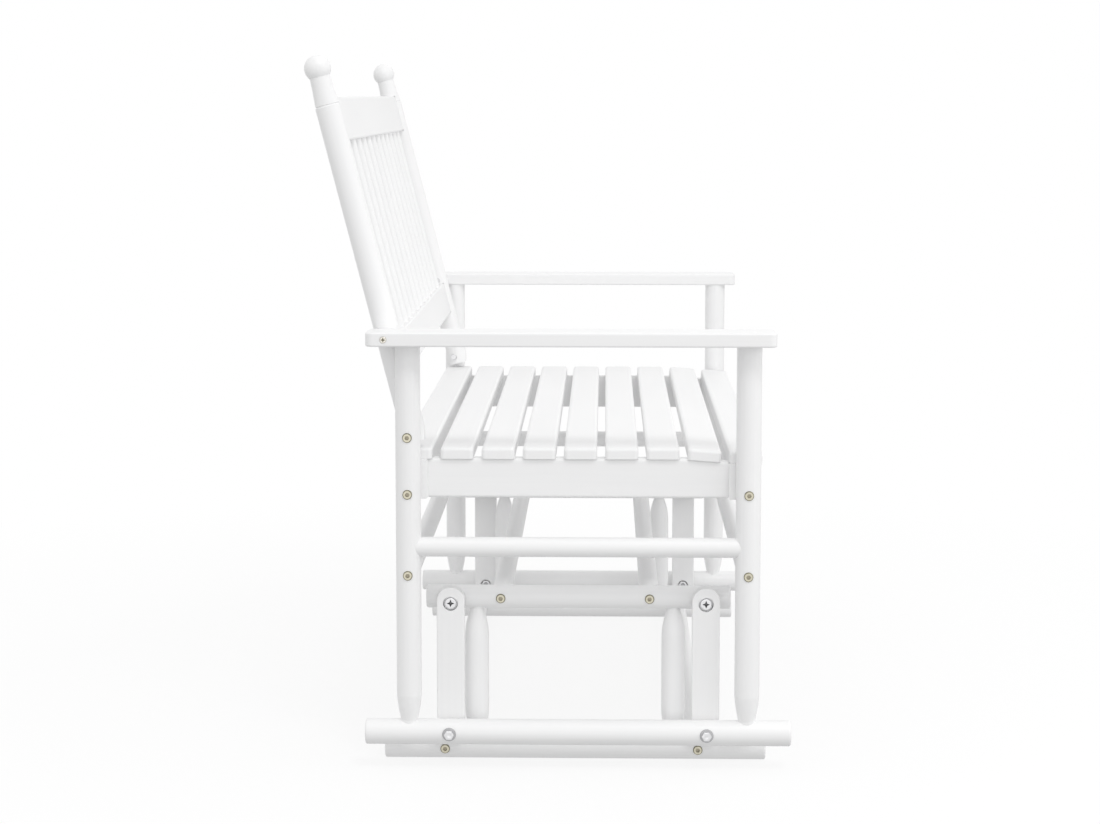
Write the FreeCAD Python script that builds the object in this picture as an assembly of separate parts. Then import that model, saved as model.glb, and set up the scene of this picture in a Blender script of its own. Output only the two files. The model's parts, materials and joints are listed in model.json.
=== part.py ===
import FreeCAD, Part
import math
import os

os.makedirs("parts", exist_ok=True)

# Swing bench: a two-seat wooden bench that hangs on four links from a floor base.
# Millimetres. +X runs along the bench, the sitter faces -Y, +Z is up.
# The bench's two ends mirror each other, so an end's pieces are made at the -X end, which is
# the sitter's right. Across an end, places are given as an inset: the distance inwards from
# the plane that holds the centre lines of that end's legs.

# Driving dimensions: the bench's end frames
LEG_SPACING_X = 1040.0
LEG_SPACING_Y = 460.0
LEG_D = 34.0
LEG_FOOT_D = 23.0
LEG_TAPER = 34.0
LEG_TAPER_SWELL = 0.5
LEG_TOP_TENON_D = 20.0
LEG_TOP_TENON = 12.0
LOWER_RAIL_D = 35.0
LOWER_RAIL_Z = 51.5
LOWER_RAIL_LENGTH = 580.0
RAIL_END_ROUND = 3.0
SIDE_OVER_LONG_STRETCHER = 37.0
STRETCHER_D = 27.0

# Driving dimensions: armrests
ARM_TOP = 603.0
ARM_THICKNESS = 19.0
ARM_WIDTH = 62.0
ARM_FRONT_OVERHANG = 34.5
ARM_REAR_OVERHANG = 53.5
ARM_CORNER = 10.0
ARM_EDGE = 2.5

# Driving dimensions: seat
SEAT_TOP = 440.0
SLAT_COUNT = 9
SLAT_WIDTH = 45.0
SLAT_FRONT_OVERHANG = 9.3
SLAT_REAR_OVERHANG = 3.5
SLAT_THICKNESS = 15.0
SLAT_CORNER = 5.5
SLAT_EDGE = 4.5
SLAT_END_CLEARANCE = 2.5
SLOPED_SLATS = 2
SEAT_SLOPE = 4.0
SEAT_RAIL_HEIGHT = 54.0
SEAT_RAIL_THICKNESS = 36.0
SEAT_RAIL_REACH = 25.5
SEAT_RAIL_LET_IN = 4.2
SEAT_RAIL_EDGE = 3.0
APRON_THICKNESS = 20.0
APRON_SETBACK = 7.0
APRON_EDGE = 4.0
SLAT_DOWEL_D = 8.0
SLAT_DOWEL_DEPTH = 10.0

# Driving dimensions: back
BACK_LEAN = 14.4
POST_D = 34.0
POST_LET_IN = 2.0
POST_FOOT_OVER_SEAT = 8.0
POST_FOOT_FLAT = 20.5
POST_SHOULDER_Z = 903.0
SHOULDER_GROOVE = 1.5
NECK_FOOT_D = 33.0
NECK_D = 28.0
NECK_HOLLOW = 0.4
BALL_D = 36.5
FINIAL_RISE = 51.0
CREST_PAST_SHOULDER = 10.4
CREST_HEIGHT = 62.0
LOWER_BACK_RAIL_BELOW_BOLT = 7.0
LOWER_BACK_RAIL_HEIGHT = 53.0
BACK_RAIL_THICKNESS = 20.0
BACK_RAIL_EDGE = 3.0
BACK_RAIL_LET_IN = 10.0
SPINDLE_COUNT = 12
SPINDLE_D = 16.0
SPINDLE_TENON_D = 11.0
SPINDLE_TENON = 12.0

# Driving dimensions: floor base
BASE_RAIL_D = 32.0
UPPER_RAIL_LENGTH = 420.0
GROUND_RAIL_LENGTH = 528.0
GROUND_FLAT = 1.0
UPRIGHT_SPACING = 272.0
UPRIGHT_D = 33.0
UPRIGHT_END_D = 17.0
UPRIGHT_TAPER = 40.0
UPRIGHT_TAPER_SWELL = 1.0
UPRIGHT_TENON = 12.0
UPPER_STRETCHER_SPACING = 205.0
LOWER_STRETCHER_SPACING = 350.0
BASE_SET_BACK = 4.5
LOWER_STRETCHER_SET_BACK = 9.5

# Driving dimensions: links and pivots
LINK_SPACING = 350.0
LINK_LENGTH = 172.3
LINK_TOP_OVER_PIVOT = 22.2
LINK_WIDTH = 38.0
LINK_THICKNESS = 18.0
LINK_EDGE = 1.5
LINK_TO_LEG = 7.0
LINK_TO_BASE_RAIL = 2.0
SEAT_OVER_BASE = 14.0
PIVOT_UNDER_RAIL = 3.2
PIVOT_D = 8.0
BUSH_D = 14.0
WASHER_D = 19.5
WASHER_THICKNESS = 1.5
SCREW_HEAD_D = 16.5
SCREW_HEAD_HEIGHT = 3.5
SCREW_HEAD_ROUND = 1.6
SCREW_CROSS_LENGTH = 10.0
SCREW_CROSS_WAIST = 3.4
SCREW_CROSS_DEPTH = 2.3
SCREW_DEPTH = 24.0
SCREW_SUNK = 1.2
SCREW_POCKET_CLEARANCE = 0.5
PIVOT_FLANGE_D = 18.5
PIVOT_FLANGE_THICKNESS = 2.0
PIVOT_SPOT_DEPTH = 1.2
PIVOT_HEX_AF = 12.0
PIVOT_HEX_HEIGHT = 4.0
PIVOT_HEX_CHAMFER = 0.7
PIVOT_DIMPLE_D = 5.0
PIVOT_DIMPLE_DEPTH = 0.9
PIVOT_NUT_AF = 13.0
PIVOT_NUT_HEIGHT = 6.5
NUT_POCKET_CLEARANCE = 1.5
NUT_RECESS = 1.2

# Driving dimensions: bolts
BOLT_D = 6.0
BOLT_HEAD_D = 12.8
BOLT_HEAD_HEIGHT = 3.0
BOLT_HEAD_CHAMFER = 1.0
BOLT_SOCKET_AF = 5.0
BOLT_SOCKET_DEPTH = 2.0
BOLT_INTO_NUT = 8.0
BARREL_NUT_D = 10.0
BARREL_NUT_LENGTH = 14.0
BARREL_NUT_FROM_END = 25.0
SEAT_BOLT_UP = 10.3
POST_BOLT_UP = 10.5
POST_BOLT_OFF_AXIS = 5.7
ARM_BOLT_D = 5.0
ARM_BOLT_HEAD_D = 9.0
ARM_BOLT_HEAD_HEIGHT = 2.2
ARM_BOLT_SOCKET_AF = 4.0
ARM_BOLT_SOCKET_DEPTH = 1.2
CAP_NUT_D = 10.0
CAP_NUT_HEIGHT = 4.0
CAP_NUT_RECESS = 3.5

# Clearances
GLUE_GAP = 0.05
RUN_GAP = 0.05
SIDE_GAP = 0.3
BOLT_GAP = 0.2
SPOT_GAP = 0.1
SADDLE_GAP = 0.1
CUT_PAST = 1.0

# Derived places
V = FreeCAD.Vector
X_AXIS = V(1, 0, 0)
Y_AXIS = V(0, 1, 0)
Z_AXIS = V(0, 0, 1)
HALF_X = LEG_SPACING_X / 2
LEG_Y = LEG_SPACING_Y / 2
LEG_R = LEG_D / 2
LOWER_RAIL_R = LOWER_RAIL_D / 2
BASE_RAIL_R = BASE_RAIL_D / 2
UPPER_PIVOT_Z = LOWER_RAIL_Z + LINK_LENGTH
UPPER_RAIL_Z = UPPER_PIVOT_Z + PIVOT_UNDER_RAIL
LONG_STRETCHER_Z = UPPER_RAIL_Z + BASE_RAIL_R + SEAT_OVER_BASE + STRETCHER_D / 2
SIDE_STRETCHER_Z = LONG_STRETCHER_Z + SIDE_OVER_LONG_STRETCHER
GROUND_RAIL_Z = BASE_RAIL_R - GROUND_FLAT
PIVOT_Y = LINK_SPACING / 2


def rows(middle_y, spacing):
    """Y of the rear and the front one of a pair of pieces."""
    return {"rear": middle_y + spacing / 2, "front": middle_y - spacing / 2}


UPRIGHTS_Y = rows(BASE_SET_BACK, UPRIGHT_SPACING)
UPPER_STRETCHERS_Y = rows(BASE_SET_BACK, UPPER_STRETCHER_SPACING)
LOWER_STRETCHERS_Y = rows(LOWER_STRETCHER_SET_BACK, LOWER_STRETCHER_SPACING)
ARM_BOTTOM = ARM_TOP - ARM_THICKNESS
ARM_MIDDLE = ARM_TOP - ARM_THICKNESS / 2


def chord_depth(cylinder_d, flat_d):
    """How deep a flat as wide as flat_d lies in the side of a round of cylinder_d."""
    radius = cylinder_d / 2
    return radius - math.sqrt(radius ** 2 - (flat_d / 2) ** 2)


# Across an end: the link hangs between the lower rail and the base's upper rail
LINK_OUTER = LEG_R + LINK_TO_LEG
LINK_INNER = LINK_OUTER + LINK_THICKNESS
SCREW_SEAT = LINK_OUTER + SCREW_SUNK + SCREW_HEAD_HEIGHT
SCREW_POCKET_FLOOR = SCREW_SEAT + WASHER_THICKNESS + SIDE_GAP
SCREW_POCKET_D = WASHER_D + 2 * SCREW_POCKET_CLEARANCE
NUT_POCKET_D = PIVOT_NUT_AF / math.cos(math.radians(30)) + 2 * NUT_POCKET_CLEARANCE
NUT_POCKET_DEPTH = SIDE_GAP + PIVOT_NUT_HEIGHT + NUT_RECESS
BASE_INSET = LINK_INNER + LINK_TO_BASE_RAIL + BASE_RAIL_R
POST_R = POST_D / 2
POST_INSET = LEG_R + POST_R - POST_LET_IN
ARM_INNER = LEG_R + POST_LET_IN
ARM_OUTER = ARM_INNER - ARM_WIDTH
APRON_OUTER = LEG_R + APRON_SETBACK
APRON_INNER = APRON_OUTER + APRON_THICKNESS
SLAT_END = LEG_R + SLAT_END_CLEARANCE
LEG_SOCKET = chord_depth(LEG_D, STRETCHER_D) + SPOT_GAP
BASE_SOCKET = chord_depth(BASE_RAIL_D, STRETCHER_D) + SPOT_GAP
STRETCHER_END = LEG_R - LEG_SOCKET
BASE_STRETCHER_END = BASE_INSET + BASE_RAIL_R - BASE_SOCKET
SEAT_RAIL_END = LEG_R - SEAT_RAIL_LET_IN
LEG_HEAD_SEAT = -LEG_R + chord_depth(LEG_D, BOLT_HEAD_D) + SPOT_GAP
BASE_HEAD_SEAT = BASE_INSET - BASE_RAIL_R + chord_depth(BASE_RAIL_D, BOLT_HEAD_D) + SPOT_GAP
PIVOT_HEAD_SEAT = -LOWER_RAIL_R + PIVOT_SPOT_DEPTH
LOWER_BUSH_SEAT = LOWER_RAIL_R - chord_depth(LOWER_RAIL_D, BUSH_D) - SPOT_GAP
UPPER_BUSH_REACH = BUSH_D + 2 * PIVOT_UNDER_RAIL
UPPER_BUSH_SEAT = BASE_INSET - BASE_RAIL_R + chord_depth(BASE_RAIL_D, UPPER_BUSH_REACH) + SPOT_GAP
CAP_NUT_SEAT = POST_INSET + POST_R - CAP_NUT_RECESS
ARM_HEAD_SEAT = ARM_OUTER + ARM_BOLT_HEAD_HEIGHT * 2 / 3

# Seat: the two seat rails lie inside the legs, and the slats lie across rails and aprons
SEAT_BED = SEAT_TOP - SLAT_THICKNESS
SEAT_RAIL_BOTTOM = SEAT_BED - SEAT_RAIL_HEIGHT
SEAT_RAIL_INNER_Y = LEG_Y - SEAT_RAIL_REACH
SEAT_RAIL_OUTER_Y = SEAT_RAIL_INNER_Y + SEAT_RAIL_THICKNESS
SEAT_BOLT_Z = SEAT_RAIL_BOTTOM + SEAT_BOLT_UP
FIRST_SLAT_Y = SEAT_RAIL_OUTER_Y + SLAT_REAR_OVERHANG - SLAT_WIDTH / 2
LAST_SLAT_Y = -(SEAT_RAIL_OUTER_Y + SLAT_FRONT_OVERHANG - SLAT_WIDTH / 2)
SLAT_PITCH = (FIRST_SLAT_Y - LAST_SLAT_Y) / (SLAT_COUNT - 1)
SLOPE_START_Y = LAST_SLAT_Y + (SLOPED_SLATS - 0.5) * SLAT_PITCH
SLOPE_DROP = math.tan(math.radians(SEAT_SLOPE))

# Back: a plane that leans about a point on the post's axis, level with the armrest
LEAN_SIN = math.sin(math.radians(BACK_LEAN))
LEAN_COS = math.cos(math.radians(BACK_LEAN))
POST_FOOT_Z = SEAT_TOP + POST_FOOT_OVER_SEAT
POST_BOLT_Z = POST_FOOT_Z + POST_BOLT_UP
BACK_Y = LEG_Y - POST_BOLT_OFF_AXIS + (ARM_MIDDLE - POST_BOLT_Z) * LEAN_SIN / LEAN_COS
POST_X = HALF_X - POST_INSET
BACK_RAIL_END = POST_X - POST_R + BACK_RAIL_LET_IN
SPINDLE_PITCH = 2 * (POST_X - POST_R) / (SPINDLE_COUNT + 1)


def along_back(height):
    """Distance along the leaning back, from the armrest's middle up to a height."""
    return (height - ARM_MIDDLE) / LEAN_COS


SHOULDER = along_back(POST_SHOULDER_Z)
BALL_CENTRE = SHOULDER + FINIAL_RISE
CREST_HIGH = SHOULDER + CREST_PAST_SHOULDER
CREST_LOW = CREST_HIGH - CREST_HEIGHT
BACK_RAIL_HIGH = -LOWER_BACK_RAIL_BELOW_BOLT
BACK_RAIL_LOW = BACK_RAIL_HIGH - LOWER_BACK_RAIL_HEIGHT

# The origin stands under the middle of the whole part, on the floor
BALL_BACK_Y = BACK_Y + BALL_CENTRE * LEAN_SIN + BALL_D / 2
PART_BACK_Y = max(BALL_BACK_Y, LOWER_RAIL_LENGTH / 2)
PART_FRONT_Y = min(-LOWER_RAIL_LENGTH / 2, -LEG_Y - ARM_FRONT_OVERHANG)
TO_ORIGIN = V(0, -(PART_BACK_Y + PART_FRONT_Y) / 2, 0)

parts = {}


def end_x(inset):
    """X of an inset at the -X end."""
    return inset - HALF_X


def rod_x(diameter, inset0, inset1, y, z):
    """Round bar across the -X end, between two insets."""
    return Part.makeCylinder(diameter / 2, inset1 - inset0, V(end_x(inset0), y, z), X_AXIS)


def rod_y(diameter, y0, y1, inset, z):
    return Part.makeCylinder(diameter / 2, y1 - y0, V(end_x(inset), y0, z), Y_AXIS)


def rod_z(diameter, z0, z1, inset, y):
    return Part.makeCylinder(diameter / 2, z1 - z0, V(end_x(inset), y, z0), Z_AXIS)


def block(x0, x1, y0, y1, z0, z1):
    return Part.makeBox(x1 - x0, y1 - y0, z1 - z0, V(x0, y0, z0))


def hexagon_x(across_flats, inset0, inset1, y, z):
    """Hexagonal bar across the -X end, between two insets."""
    corner_r = across_flats / 2 / math.cos(math.radians(30))
    corners = []
    for k in range(7):
        angle = math.radians(60 * k)
        corners.append(V(end_x(inset0), y + corner_r * math.cos(angle), z + corner_r * math.sin(angle)))
    return Part.Face(Part.makePolygon(corners)).extrude(V(inset1 - inset0, 0, 0))


def turned(profile, inset, y, z):
    """Round piece on a vertical axis from edges in the XZ plane that start and end on the axis."""
    first = profile[0].firstVertex(True).Point
    last = profile[-1].lastVertex(True).Point
    closing = Part.LineSegment(last, first).toShape()
    face = Part.Face(Part.Wire(profile + [closing]))
    solid = face.revolve(V(0, 0, 0), Z_AXIS, 360)
    solid.translate(V(end_x(inset), y, z))
    return solid


def line(p, q):
    return Part.LineSegment(V(p[0], 0, p[1]), V(q[0], 0, q[1])).toShape()


def arc(p, middle, q):
    return Part.Arc(V(p[0], 0, p[1]), V(middle[0], 0, middle[1]), V(q[0], 0, q[1])).toShape()


def ogive(thin, thick, swell):
    """Swelling taper: a swell of 1 runs smoothly into the thick end's side, and of 0 is straight."""
    step = thick[0] - thin[0]
    rise = thin[1] - thick[1]
    radius = (step ** 2 + rise ** 2) / (2 * step)
    half_turn = math.asin(rise / radius) / 2
    smooth = V(thick[0] - radius * (1 - math.cos(half_turn)), 0, thick[1] + radius * math.sin(half_turn))
    chord = V((thin[0] + thick[0]) / 2, 0, (thin[1] + thick[1]) / 2)
    middle = chord + (smooth - chord) * swell
    return arc(thin, (middle.x, middle.z), thick)


def cut_all(shape, tools):
    for tool in tools:
        shape = shape.cut(tool)
    return shape


def edges_along(shape, axis):
    """The straight edges of a shape that run along an axis."""
    found = []
    for edge in shape.Edges:
        if isinstance(edge.Curve, Part.Line) and abs(edge.tangentAt(edge.FirstParameter).dot(axis)) > 0.999:
            found.append(edge)
    return found


def edges_at_height(shape, height):
    """The edges of a shape that lie level at a height."""
    found = []
    for edge in shape.Edges:
        box = edge.BoundBox
        if max(abs(box.ZMin - height), abs(box.ZMax - height)) < 1e-6:
            found.append(edge)
    return found


def mirrored(shape):
    """The same piece at the bench's +X end."""
    return shape.mirror(V(0, 0, 0), X_AXIS)


def leaned(shape):
    """Tip a piece drawn upright about the armrest's middle into the plane of the back."""
    shape = shape.copy()
    shape.rotate(V(0, 0, 0), X_AXIS, -BACK_LEAN)
    shape.translate(V(0, BACK_Y, ARM_MIDDLE))
    return shape


def keep(name, *solids):
    parts[name] = solids[0] if len(solids) == 1 else Part.makeCompound(list(solids))


def keep_ends(name, shape):
    """An end's piece, kept once for each end: the sitter's right is -X."""
    keep("right_" + name, shape)
    keep("left_" + name, mirrored(shape))


# Bolts, screws and nuts
def connector_bolt(head_seat, tip, y, z):
    """Flat-headed bolt with a hexagonal socket, driven inwards from the end."""
    head_top = head_seat - BOLT_HEAD_HEIGHT
    bolt = rod_x(BOLT_HEAD_D, head_top, head_seat, y, z)
    rim = [e for e in bolt.Edges if abs(e.BoundBox.XMax - end_x(head_top)) < 1e-6]
    bolt = bolt.makeChamfer(BOLT_HEAD_CHAMFER, rim)
    bolt = bolt.fuse(rod_x(BOLT_D, head_seat, tip, y, z))
    return bolt.cut(hexagon_x(BOLT_SOCKET_AF, head_top - CUT_PAST, head_top + BOLT_SOCKET_DEPTH, y, z))


def bolt_way(head_d, bolt_d, head_seat, tip, y, z):
    """Space that a bolt and its head take out of the wood."""
    spot = rod_x(head_d + 2 * BOLT_GAP, head_seat - 2 * LEG_D, head_seat, y, z)
    return spot.fuse(rod_x(bolt_d + 2 * BOLT_GAP, head_seat - CUT_PAST, tip, y, z))


def barrel_nut(inset, y, z):
    """Round nut that lies across a stretcher, with a hole for the bolt."""
    nut = rod_z(BARREL_NUT_D, z - BARREL_NUT_LENGTH / 2, z + BARREL_NUT_LENGTH / 2, inset, y)
    return nut.cut(rod_x(BOLT_D + 2 * GLUE_GAP, inset - BARREL_NUT_D, inset + BARREL_NUT_D, y, z))


def barrel_nut_way(inset, y, z, below):
    """Blind hole for a barrel nut, drilled up from below."""
    top = z + BARREL_NUT_LENGTH / 2 + GLUE_GAP
    return rod_z(BARREL_NUT_D + 2 * GLUE_GAP, below - CUT_PAST, top, inset, y)


def bolted_stretcher(bolts, nuts, diameter, end, head_seat, y, z):
    """Long dowel between the two ends, with a bolt and a barrel nut at each end."""
    nut_inset = end + BARREL_NUT_FROM_END
    tip = nut_inset + BOLT_INTO_NUT
    dowel = rod_x(diameter, end, LEG_SPACING_X - end, y, z)
    way = bolt_way(BOLT_D, BOLT_D, end - CUT_PAST, tip + CUT_PAST, y, z)
    way = way.fuse(barrel_nut_way(nut_inset, y, z, z - diameter / 2))
    bolt = connector_bolt(head_seat, tip, y, z)
    nut = barrel_nut(nut_inset, y, z)
    bolts += [bolt, mirrored(bolt)]
    nuts += [nut, mirrored(nut)]
    return cut_all(dowel, [way, mirrored(way)])


# Floor base: two end frames of a ground rail, two uprights and an upper rail
def turned_upright():
    low = GROUND_RAIL_Z + BASE_RAIL_R
    high = UPPER_RAIL_Z - BASE_RAIL_R
    end_r = UPRIGHT_END_D / 2
    mid_r = UPRIGHT_D / 2
    profile = [
        line((0, low - UPRIGHT_TENON), (end_r, low - UPRIGHT_TENON)),
        line((end_r, low - UPRIGHT_TENON), (end_r, low)),
        ogive((end_r, low), (mid_r, low + UPRIGHT_TAPER), UPRIGHT_TAPER_SWELL),
        line((mid_r, low + UPRIGHT_TAPER), (mid_r, high - UPRIGHT_TAPER)),
        ogive((end_r, high), (mid_r, high - UPRIGHT_TAPER), UPRIGHT_TAPER_SWELL),
        line((end_r, high), (end_r, high + UPRIGHT_TENON)),
        line((end_r, high + UPRIGHT_TENON), (0, high + UPRIGHT_TENON)),
    ]
    return profile


def base_rail(middle_y, length, z, upright_z0, upright_z1, stretchers_y):
    """Round rail along Y with sockets for its uprights and for the long stretchers."""
    rail = rod_y(BASE_RAIL_D, middle_y - length / 2, middle_y + length / 2, BASE_INSET, z)
    rail = rail.makeFillet(RAIL_END_ROUND, [e for e in rail.Edges if isinstance(e.Curve, Part.Circle)])
    inner = BASE_INSET + BASE_RAIL_R + CUT_PAST
    for upright_y in UPRIGHTS_Y.values():
        rail = rail.cut(rod_z(UPRIGHT_END_D + 2 * GLUE_GAP, upright_z0, upright_z1, BASE_INSET, upright_y))
    for y in stretchers_y.values():
        socket = rod_x(STRETCHER_D + 2 * GLUE_GAP, BASE_STRETCHER_END, inner, y, z)
        way = bolt_way(BOLT_HEAD_D, BOLT_D, BASE_HEAD_SEAT, inner, y, z)
        rail = cut_all(rail, [socket, way])
    return rail


def pivot_screw(y):
    """Pan-headed screw with a cross recess, sunk in a link that it carries on the upper rail."""
    face = SCREW_SEAT - SCREW_HEAD_HEIGHT
    head = rod_x(SCREW_HEAD_D, face, SCREW_SEAT, y, UPPER_PIVOT_Z)
    rim = [e for e in head.Edges if abs(e.BoundBox.XMax - end_x(face)) < 1e-6]
    head = head.makeFillet(SCREW_HEAD_ROUND, rim)
    shank = rod_x(PIVOT_D, SCREW_SEAT, UPPER_BUSH_SEAT + SCREW_DEPTH, y, UPPER_PIVOT_Z)
    screw = head.fuse(shank)
    corners = []
    for k in range(9):
        reach = SCREW_CROSS_WAIST / 2 if k % 2 else SCREW_CROSS_LENGTH / 2
        angle = math.radians(45 * k)
        corners.append(V(end_x(face - CUT_PAST), y + reach * math.cos(angle),
                         UPPER_PIVOT_Z + reach * math.sin(angle)))
    cross = Part.Face(Part.makePolygon(corners)).extrude(V(SCREW_CROSS_DEPTH + CUT_PAST, 0, 0))
    return screw.cut(cross)


def pivot_washer(y):
    back = SCREW_SEAT + WASHER_THICKNESS
    hole = rod_x(PIVOT_D + 2 * GLUE_GAP, SCREW_SEAT - CUT_PAST, back + CUT_PAST, y, UPPER_PIVOT_Z)
    return rod_x(WASHER_D, SCREW_SEAT, back, y, UPPER_PIVOT_Z).cut(hole)


def make_base():
    upright = turned_upright()
    ground_top = GROUND_RAIL_Z + BASE_RAIL_R
    upper_bottom = UPPER_RAIL_Z - BASE_RAIL_R
    for row, y in UPRIGHTS_Y.items():
        keep_ends(row + "_upright", turned(upright, BASE_INSET, y, 0))

    socket_floor = ground_top - UPRIGHT_TENON - GLUE_GAP
    ground = base_rail(BASE_SET_BACK, GROUND_RAIL_LENGTH, GROUND_RAIL_Z, socket_floor,
                       ground_top + CUT_PAST, LOWER_STRETCHERS_Y)
    far = GROUND_RAIL_LENGTH
    ground = ground.cut(block(end_x(0), end_x(2 * BASE_INSET), -far, far, -BASE_RAIL_D, 0))
    keep_ends("ground_rail", ground)

    socket_roof = upper_bottom + UPRIGHT_TENON + GLUE_GAP
    upper = base_rail(0, UPPER_RAIL_LENGTH, UPPER_RAIL_Z, upper_bottom - CUT_PAST, socket_roof,
                      UPPER_STRETCHERS_Y)
    screws = []
    washers = []
    for sign in (-1, 1):
        y = sign * PIVOT_Y
        spot = rod_x(BUSH_D + 2 * BOLT_GAP, LINK_INNER, UPPER_BUSH_SEAT, y, UPPER_PIVOT_Z)
        pilot_end = UPPER_BUSH_SEAT + SCREW_DEPTH + GLUE_GAP
        pilot = rod_x(PIVOT_D + 2 * GLUE_GAP, LINK_INNER, pilot_end, y, UPPER_PIVOT_Z)
        upper = cut_all(upper, [spot, pilot])
        screw = pivot_screw(y)
        washer = pivot_washer(y)
        screws += [screw, mirrored(screw)]
        washers += [washer, mirrored(washer)]
    keep_ends("upper_rail", upper)
    keep("upper_pivot_screws", *screws)
    keep("upper_pivot_washers", *washers)

    bolts = []
    nuts = []
    for row in ("rear", "front"):
        for level, rows_y, z in (("upper", UPPER_STRETCHERS_Y, UPPER_RAIL_Z),
                                 ("lower", LOWER_STRETCHERS_Y, GROUND_RAIL_Z)):
            dowel = bolted_stretcher(bolts, nuts, STRETCHER_D, BASE_STRETCHER_END, BASE_HEAD_SEAT,
                                     rows_y[row], z)
            keep(row + "_" + level + "_base_stretcher", dowel)
    keep("base_bolts", *bolts)
    keep("base_barrel_nuts", *nuts)


# Links: flat bars with round ends, a bush at each pivot and pockets for the screw and the lower nut
def link(y):
    half = LINK_WIDTH / 2
    head_z = UPPER_PIVOT_Z + LINK_TOP_OVER_PIVOT - half
    bar = block(end_x(LINK_OUTER), end_x(LINK_INNER), y - half, y + half, LOWER_RAIL_Z, head_z)
    for z in (LOWER_RAIL_Z, head_z):
        bar = bar.fuse(rod_x(LINK_WIDTH, LINK_OUTER, LINK_INNER, y, z))
    bar = bar.removeSplitter()
    rims = [e for e in bar.Edges if e.BoundBox.XLength < 1e-6]
    bar = bar.makeFillet(LINK_EDGE, rims)
    for z in (LOWER_RAIL_Z, UPPER_PIVOT_Z):
        bar = bar.cut(rod_x(BUSH_D + 2 * GLUE_GAP, LINK_OUTER - CUT_PAST, LINK_INNER + CUT_PAST, y, z))
    screw_pocket = rod_x(SCREW_POCKET_D, LINK_OUTER - CUT_PAST, SCREW_POCKET_FLOOR, y, UPPER_PIVOT_Z)
    nut_pocket = rod_x(NUT_POCKET_D, LINK_INNER - NUT_POCKET_DEPTH, LINK_INNER + CUT_PAST, y, LOWER_RAIL_Z)
    return cut_all(bar, [screw_pocket, nut_pocket])


def bush(inset0, inset1, y, z):
    sleeve = rod_x(BUSH_D, inset0, inset1, y, z)
    return sleeve.cut(rod_x(PIVOT_D + 2 * RUN_GAP, inset0 - CUT_PAST, inset1 + CUT_PAST, y, z))


def make_links():
    for row, sign in (("rear", 1), ("front", -1)):
        y = sign * PIVOT_Y
        keep_ends(row + "_link", link(y))
        upper = bush(SCREW_POCKET_FLOOR, UPPER_BUSH_SEAT - SIDE_GAP, y, UPPER_PIVOT_Z)
        lower = bush(LOWER_BUSH_SEAT + SIDE_GAP, LINK_INNER - NUT_POCKET_DEPTH, y, LOWER_RAIL_Z)
        keep(row + "_link_bushes", upper, lower, mirrored(upper), mirrored(lower))


# Bench end frames: lower rail, legs, side stretcher and armrest
def leg(sign):
    """Round leg, tapered into the lower rail, with a tenon into the armrest."""
    y = sign * LEG_Y
    foot_r = LEG_FOOT_D / 2
    rail_top = LOWER_RAIL_Z + LOWER_RAIL_R
    tenon_r = LEG_TOP_TENON_D / 2
    profile = [
        line((0, LOWER_RAIL_Z), (foot_r, LOWER_RAIL_Z)),
        line((foot_r, LOWER_RAIL_Z), (foot_r, rail_top)),
        ogive((foot_r, rail_top), (LEG_R, rail_top + LEG_TAPER), LEG_TAPER_SWELL),
        line((LEG_R, rail_top + LEG_TAPER), (LEG_R, ARM_BOTTOM)),
        line((LEG_R, ARM_BOTTOM), (tenon_r, ARM_BOTTOM)),
        line((tenon_r, ARM_BOTTOM), (tenon_r, ARM_BOTTOM + LEG_TOP_TENON)),
        line((tenon_r, ARM_BOTTOM + LEG_TOP_TENON), (0, ARM_BOTTOM + LEG_TOP_TENON)),
    ]
    inner = LEG_R + CUT_PAST
    side_end = LEG_Y - STRETCHER_END
    side_socket = rod_y(STRETCHER_D + 2 * GLUE_GAP, 0, side_end, 0, SIDE_STRETCHER_Z)
    if sign < 0:
        side_socket = side_socket.mirror(V(0, 0, 0), Y_AXIS)
    long_socket = rod_x(STRETCHER_D + 2 * GLUE_GAP, STRETCHER_END, inner, y, LONG_STRETCHER_Z)
    rail_notch = seat_rail_section(sign, SEAT_RAIL_END - GLUE_GAP, inner, GLUE_GAP)
    bolt_heights = [LONG_STRETCHER_Z, SEAT_BOLT_Z]
    if sign > 0:
        bolt_heights.append(POST_BOLT_Z)
    ways = [bolt_way(BOLT_HEAD_D, BOLT_D, LEG_HEAD_SEAT, inner, y, z) for z in bolt_heights]
    return cut_all(turned(profile, 0, y, 0), [side_socket, long_socket, rail_notch] + ways)


def lower_rail():
    rail = rod_y(LOWER_RAIL_D, -LOWER_RAIL_LENGTH / 2, LOWER_RAIL_LENGTH / 2, 0, LOWER_RAIL_Z)
    rail = rail.makeFillet(RAIL_END_ROUND, [e for e in rail.Edges if isinstance(e.Curve, Part.Circle)])
    inner = LOWER_RAIL_R + CUT_PAST
    for sign in (-1, 1):
        y = sign * PIVOT_Y
        foot_floor = LOWER_RAIL_Z - GLUE_GAP
        foot_roof = LOWER_RAIL_Z + LOWER_RAIL_D
        foot = rod_z(LEG_FOOT_D + 2 * GLUE_GAP, foot_floor, foot_roof, 0, sign * LEG_Y)
        way = bolt_way(PIVOT_FLANGE_D, PIVOT_D, PIVOT_HEAD_SEAT, inner, y, LOWER_RAIL_Z)
        spot = rod_x(BUSH_D + 2 * BOLT_GAP, LOWER_BUSH_SEAT, inner, y, LOWER_RAIL_Z)
        rail = cut_all(rail, [foot, way, spot])
    return rail


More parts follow.
